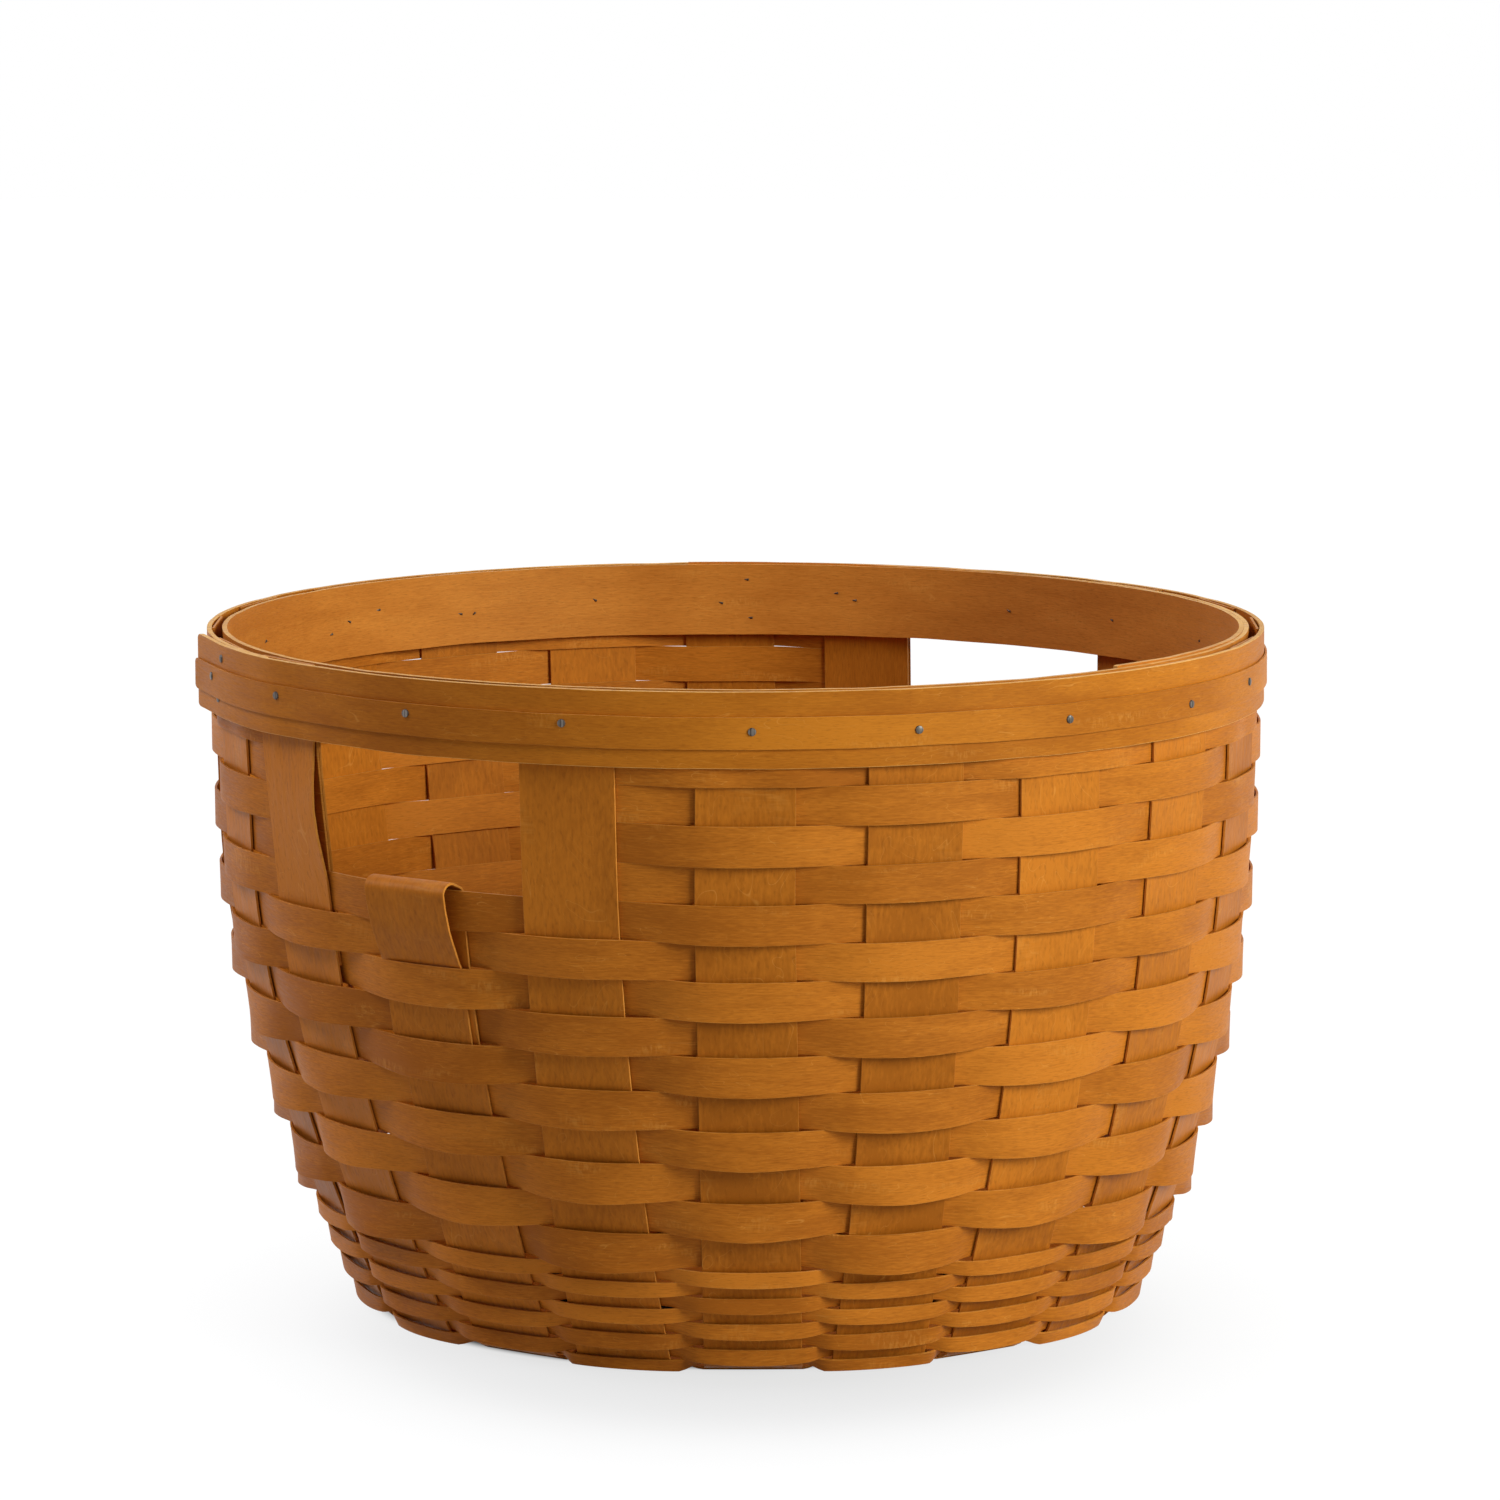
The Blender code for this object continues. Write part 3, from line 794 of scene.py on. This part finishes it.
def make_row(name, row, stakes, closed):
    """The ends of a full row meet at the middle of a stake at the front, on its inner side."""
    stakes = list(stakes)
    if closed:
        start = row % START_STAKES
        stakes = stakes[start:] + stakes[:start]
    upper = row_line(row, stakes, False, closed)
    lower = row_line(row, stakes, True, closed)
    piece = bend_strip(name + "_strip", upper, lower, weaver_veneer, closed)
    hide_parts(name)


first_hole, second_hole = HOLE_STAKES
for row_number in range(1, CUT_ROWS + 1):
    right_side = [stake % STAKES for stake in range(second_hole + 1 - STAKES, first_hole)]
    make_row("wide_row_%02d_right" % row_number, row_number, right_side, False)
    make_row("wide_row_%02d_left" % row_number, row_number, range(first_hole + 1, second_hole), False)
for row_number in range(CUT_ROWS + 1, WIDE_ROWS + 1):
    make_row("wide_row_%02d" % row_number, row_number, range(STAKES), True)


# Narrow weavers and the rows under the base
# Below the wide rows the wall bends in to the base, so narrower strips of the same veneer are woven
# there. The flat rows under the base hold the splints at their spacing.

for row_number in range(1, NARROW_ROWS + 1):
    make_row("narrow_row_%02d" % row_number, WIDE_ROWS + row_number, range(STAKES), True)
for row_number in range(1, BASE_ROWS + 1):
    make_row("base_row_%02d" % row_number, WIDE_ROWS + NARROW_ROWS + row_number, range(STAKES), True)


# Rim bands
# Three bent strips of maple hold the stakes' ends: a wide, thick band outside, whose ends lap at the
# left, a thin trim strip over it, and a thick band inside that runs round nearly one and a half times.
# Nails through all of them hold the rim together.

INNER_BAND_WIDTH = 0.0311
OUTER_BAND_WIDTH = 0.0301
TRIM_WIDTH = 0.0127
TRIM_DROP = 0.0098
LAP_START = math.radians(-81.0)
LAP_LENGTH = math.radians(22.0)
LAP_STEP = math.radians(8.0)
LAP_EASE = 0.004          # radians past a band's end before its second layer begins to step in
TRIM_GAP = math.radians(1.0)
INNER_START = math.radians(45.9)
INNER_LAP = math.radians(139.7)
BAND_THICKNESS = 0.0020
TRIM_THICKNESS = 0.0009
TRIM_STANDOFF = 0.0003    # the trim strip's nails don't press it quite flat
BAND_LAYER = 0.00205      # one band and the room to its own second layer
OUTER_RADIUS = 0.2185
INNER_RADIUS = 0.21045
OUTER_PINCH = 0.0005      # how far the bands' top edges are drawn together over the stakes
INNER_PINCH = 0.0012
BAND_STEP = math.radians(1.5)
EDGE_RAGGED = 0.00035
TOP_WAVES = 9             # ragged places in a radian of the upper edge
BOTTOM_WAVES = 7
TOP_PATTERN = 0
BOTTOM_PATTERN = 5
BAND_PATTERN = 900        # sets the trim strip's pattern apart from the wide bands'
END_ROUND = 0.0035        # worn corners of the bands' ends
SHARP_END = 0.0006
END_SHARES = (0.06, 0.15, 0.3, 0.6, 1.0)      # where a worn corner's points lie along it
TOP_WEAR = 0.7            # share of the round that is worn off the upper corner
BOTTOM_WEAR = 0.5
RIM_ROUND = 0.0003
END_SPRING = 0.0026       # how far the lapped end of the outer band stands off
SPRING_LENGTH = math.radians(9.0)
END_RISE = 0.0009         # how far the inner band's two ends stand above the rim
RISE_LENGTH = math.radians(55.0)
FULL_TURN = 2 * math.pi
RIM_PALE_COLOUR = (1.0, 0.62, 0.26)

band_veneer = veneer("band_veneer", (0.57, 0.180, 0.0138), (0.39, 0.109, 0.0074), streaks=0.8)
# The inner band's veneer is paler than the outer bands', which makes the inside of the rim brighter.
inner_veneer = veneer("inner_veneer", (0.67, 0.232, 0.0340), (0.49, 0.148, 0.0180), streaks=0.8)
# The bands' edges: partly paler cut wood, partly a painted highlight on the tops that catch the light.
rim_edge_and_highlight = veneer("rim_edge_and_highlight", (0.88, 0.47, 0.135), (0.66, 0.30, 0.065), RIM_PALE_COLOUR)


def second_layer(run, lap):
    """1 where a band lies over its own other layer, and 0 past the lap."""
    return 1 - smooth_share(run, lap + LAP_EASE, lap + LAP_STEP)


def outer_radius(run):
    spring = END_SPRING * (1 - share_of(run, 0, SPRING_LENGTH)) ** 2
    return OUTER_RADIUS + spring + BAND_LAYER * second_layer(run, LAP_LENGTH)


def trim_radius(run):
    return outer_radius(run) + TRIM_STANDOFF + (BAND_THICKNESS + TRIM_THICKNESS) / 2


def inner_radius(run):
    return INNER_RADIUS - BAND_LAYER * second_layer(run, INNER_LAP)


def leaned(radius, angle, depth, pinch):
    """A band's radius at a depth below the rim, where it leans in or out over the stakes."""
    return radius + (RIM_FLARE * max(0.0, math.sin(angle)) + pinch) * (1 - share_of(depth, 0, FLARE_DEPTH))


def ragged(run, top, waves, pattern):
    return EDGE_RAGGED * noise.noise(Vector((run * waves, top * BAND_PATTERN, pattern)))


def make_band(
        name, start, sweep, radius_of, top, width, pinch, face,
        edge_face=rim_edge_and_highlight, thickness=BAND_THICKNESS, end_round=END_ROUND, rise=0.0):
    """A band round the rim, with slightly ragged edges and worn corners at its ends."""
    ends = [share * end_round / OUTER_RADIUS for share in END_SHARES]
    body = list(np.linspace(ends[-1], sweep - ends[-1], round(sweep / BAND_STEP)))
    runs = [0.0] + ends[:-1] + body + [sweep - end for end in ends[-2::-1]] + [sweep]
    upper = []
    lower = []
    for run in runs:
        from_end = min(run, sweep - run) * OUTER_RADIUS
        worn = end_round - math.sqrt(max(0.0, end_round ** 2 - max(0.0, end_round - from_end) ** 2))
        high = HEIGHT - top - TOP_WEAR * worn + min(0.0, ragged(run, top, TOP_WAVES, TOP_PATTERN))
        high += rise * (1 - smooth_share(min(run, sweep - run), 0, RISE_LENGTH))
        low = HEIGHT - top - width + BOTTOM_WEAR * worn + ragged(run, top, BOTTOM_WAVES, BOTTOM_PATTERN)
        angle = start + run
        upper.append(place(angle, leaned(radius_of(run), angle, top, pinch), 0, high))
        lower.append(place(angle, leaned(radius_of(run), angle, top + width, pinch), 0, low))
    piece = bend_strip(
        name + "_strip", upper, lower, face, edge_face=edge_face, edge_round=RIM_ROUND, thickness=thickness)
    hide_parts(name)


make_band(
    "outer_band", LAP_START, FULL_TURN + LAP_LENGTH, outer_radius, 0, OUTER_BAND_WIDTH,
    -OUTER_PINCH, band_veneer)
make_band(
    "trim_band", LAP_START, FULL_TURN - TRIM_GAP, trim_radius, TRIM_DROP, TRIM_WIDTH,
    -OUTER_PINCH, band_veneer, edge_face=cut_edge_and_highlight, thickness=TRIM_THICKNESS)
make_band(
    "inner_band", INNER_START, FULL_TURN + INNER_LAP, inner_radius, 0, INNER_BAND_WIDTH,
    INNER_PINCH, inner_veneer, end_round=SHARP_END, rise=END_RISE)


# Nails
# Small steel nails go through the trim strip, the bands and the stakes, and a few more hold the bands'
# laps. Their heads show outside, and inside their points are bent over and pressed into the band.

NAILS = (                 # degrees round from the front, height
    (1.7, 0.2668), (18.9, 0.2661), (36.5, 0.2659), (55.6, 0.2648), (71.2, 0.2667), (90.5, 0.2670),
    (108.6, 0.2660), (128.2, 0.2670), (144.6, 0.2660), (165.1, 0.2670), (167.4, 0.2700), (178.4, 0.2755),
    (178.0, 0.2585), (181.6, 0.2650), (197.1, 0.2670), (213.1, 0.2645), (215.0, 0.2645), (227.5, 0.2700),
    (232.7, 0.2665), (236.2, 0.2625), (251.8, 0.2660), (270.0, 0.2665), (286.4, 0.2680), (289.5, 0.2765),
    (288.0, 0.2595), (304.2, 0.2682), (324.1, 0.2684), (342.2, 0.2688),
)
HEAD_RADIUS = 0.0017
HEAD_THICKNESS = 0.0007
HEAD_TAPER = 0.9
HEAD_LIFT = 0.25          # share of its thickness that a head's middle stands out of the wood
HEAD_SEGMENTS = 16
DOME_STEP = 0.3           # each ring of the domed face, in head radii
DOME_RISES = (0.22, 0.08)     # and how far it rises, in head thicknesses
HEAD_SHARP_ANGLE = math.radians(40)
POINT_RADIUS = 0.00055
POINT_LENGTH = 0.0024
POINT_TAPER = 0.3
POINT_TILT = math.radians(97)
POINT_SWING = 0.7         # radians to either side
POINT_SLIDE = 0.35
POINT_SEGMENTS = 8
POINT_RINGS = 5
POINT_SHARP_ANGLE = math.radians(60)
TARNISH_GRAIN = (1400, 1400, 3.0)
TARNISH_RANGE = (0.35, 0.65)
STEEL_METALLIC = 0.75
STEEL_RANGE = (0.3, 0.7)
STEEL_ROUGHNESS = (0.34, 0.55)


def steel(name, bright, dull):
    material = bpy.data.materials.new(name)
    material.use_nodes = True
    tree = material.node_tree
    shader = tree.nodes["Principled BSDF"]
    where = tree.nodes.new("ShaderNodeTexCoord")
    tarnish = link_noise(tree, where.outputs["Object"], *TARNISH_GRAIN)
    worn = link_range(tree, tarnish, *TARNISH_RANGE, 0, 1)
    tree.links.new(link_mix(tree, worn, bright, dull), shader.inputs["Base Color"])
    shader.inputs["Metallic"].default_value = STEEL_METALLIC
    tree.links.new(link_range(tree, tarnish, *STEEL_RANGE, *STEEL_ROUGHNESS), shader.inputs["Roughness"])
    return material


nail_steel = steel("nail_steel", (0.19, 0.165, 0.145), (0.040, 0.032, 0.026))
point_steel = steel("point_steel", (0.13, 0.085, 0.055), (0.035, 0.018, 0.010))


def facing(angle, radius, height, inward=False):
    """A frame on the rim whose Z points away from the band, outwards or inwards."""
    turn = Matrix.Rotation(angle, 4, "Z") @ Matrix.Rotation(math.pi / 2, 4, "X")
    if inward:
        turn = turn @ Matrix.Rotation(math.pi, 4, "X")
    return Matrix.Translation(place(angle, radius, 0, height)) @ turn


def finish_metal(name, bm, metal, sharp_angle):
    mesh = bpy.data.meshes.new(name)
    bmesh.ops.recalc_face_normals(bm, faces=bm.faces)
    bm.to_mesh(mesh)
    bm.free()
    mesh.materials.append(metal)
    mesh.shade_smooth()
    mesh.set_sharp_from_angle(angle=sharp_angle)
    piece = bpy.data.objects.new(name, mesh)
    bpy.context.scene.collection.objects.link(piece)
    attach(piece, "root")


def outer_surface(angle, height):
    """The face that a nail's head lies on: the trim strip, or the outer band above or below it."""
    run = (angle - LAP_START) % FULL_TURN
    on_trim = TRIM_DROP < HEIGHT - height < TRIM_DROP + TRIM_WIDTH
    radius = trim_radius(run) + TRIM_THICKNESS / 2 if on_trim else outer_radius(run) + BAND_THICKNESS / 2
    return leaned(radius, angle, HEIGHT - height, -OUTER_PINCH)


def inner_surface(angle, height):
    run = (angle - INNER_START) % FULL_TURN
    return leaned(inner_radius(run), angle, HEIGHT - height, INNER_PINCH) - BAND_THICKNESS / 2


def make_heads():
    bm = bmesh.new()
    for degrees, height in NAILS:
        angle = math.radians(degrees)
        seat = facing(angle, outer_surface(angle, height) + HEAD_THICKNESS * HEAD_LIFT, height)
        head = bmesh.ops.create_cone(
            bm, cap_ends=True, segments=HEAD_SEGMENTS, radius1=HEAD_RADIUS,
            radius2=HEAD_RADIUS * HEAD_TAPER, depth=HEAD_THICKNESS, matrix=seat)
        outward = seat.to_3x3() @ Vector((0, 0, 1))
        bm.normal_update()
        faces = {face for vertex in head["verts"] for face in vertex.link_faces}
        ends = [face for face in faces if len(face.verts) == HEAD_SEGMENTS]
        front = [face for face in ends if face.normal.dot(outward) > 0]
        for rise in DOME_RISES:
            bmesh.ops.inset_region(
                bm, faces=front, thickness=HEAD_RADIUS * DOME_STEP, depth=HEAD_THICKNESS * rise)
    finish_metal("nail_heads", bm, nail_steel, HEAD_SHARP_ANGLE)


def make_points():
    bm = bmesh.new()
    for number, (degrees, height) in enumerate(NAILS):
        angle = math.radians(degrees)
        seat = facing(angle, inner_surface(angle, height), height, inward=True)
        swing = random.Random(number).uniform(-POINT_SWING, POINT_SWING)
        lie = Matrix.Rotation(swing, 4, "Z") @ Matrix.Rotation(POINT_TILT, 4, "Y")
        slide = Matrix.Translation((0, 0, POINT_LENGTH * POINT_SLIDE))
        bmesh.ops.create_cone(
            bm, cap_ends=True, segments=POINT_SEGMENTS, radius1=POINT_RADIUS,
            radius2=POINT_RADIUS * POINT_TAPER, depth=POINT_LENGTH, matrix=seat @ lie @ slide)
        bmesh.ops.create_uvsphere(
            bm, u_segments=POINT_SEGMENTS, v_segments=POINT_RINGS, radius=POINT_RADIUS, matrix=seat)
    finish_metal("nail_points", bm, point_steel, POINT_SHARP_ANGLE)


make_heads()
make_points()
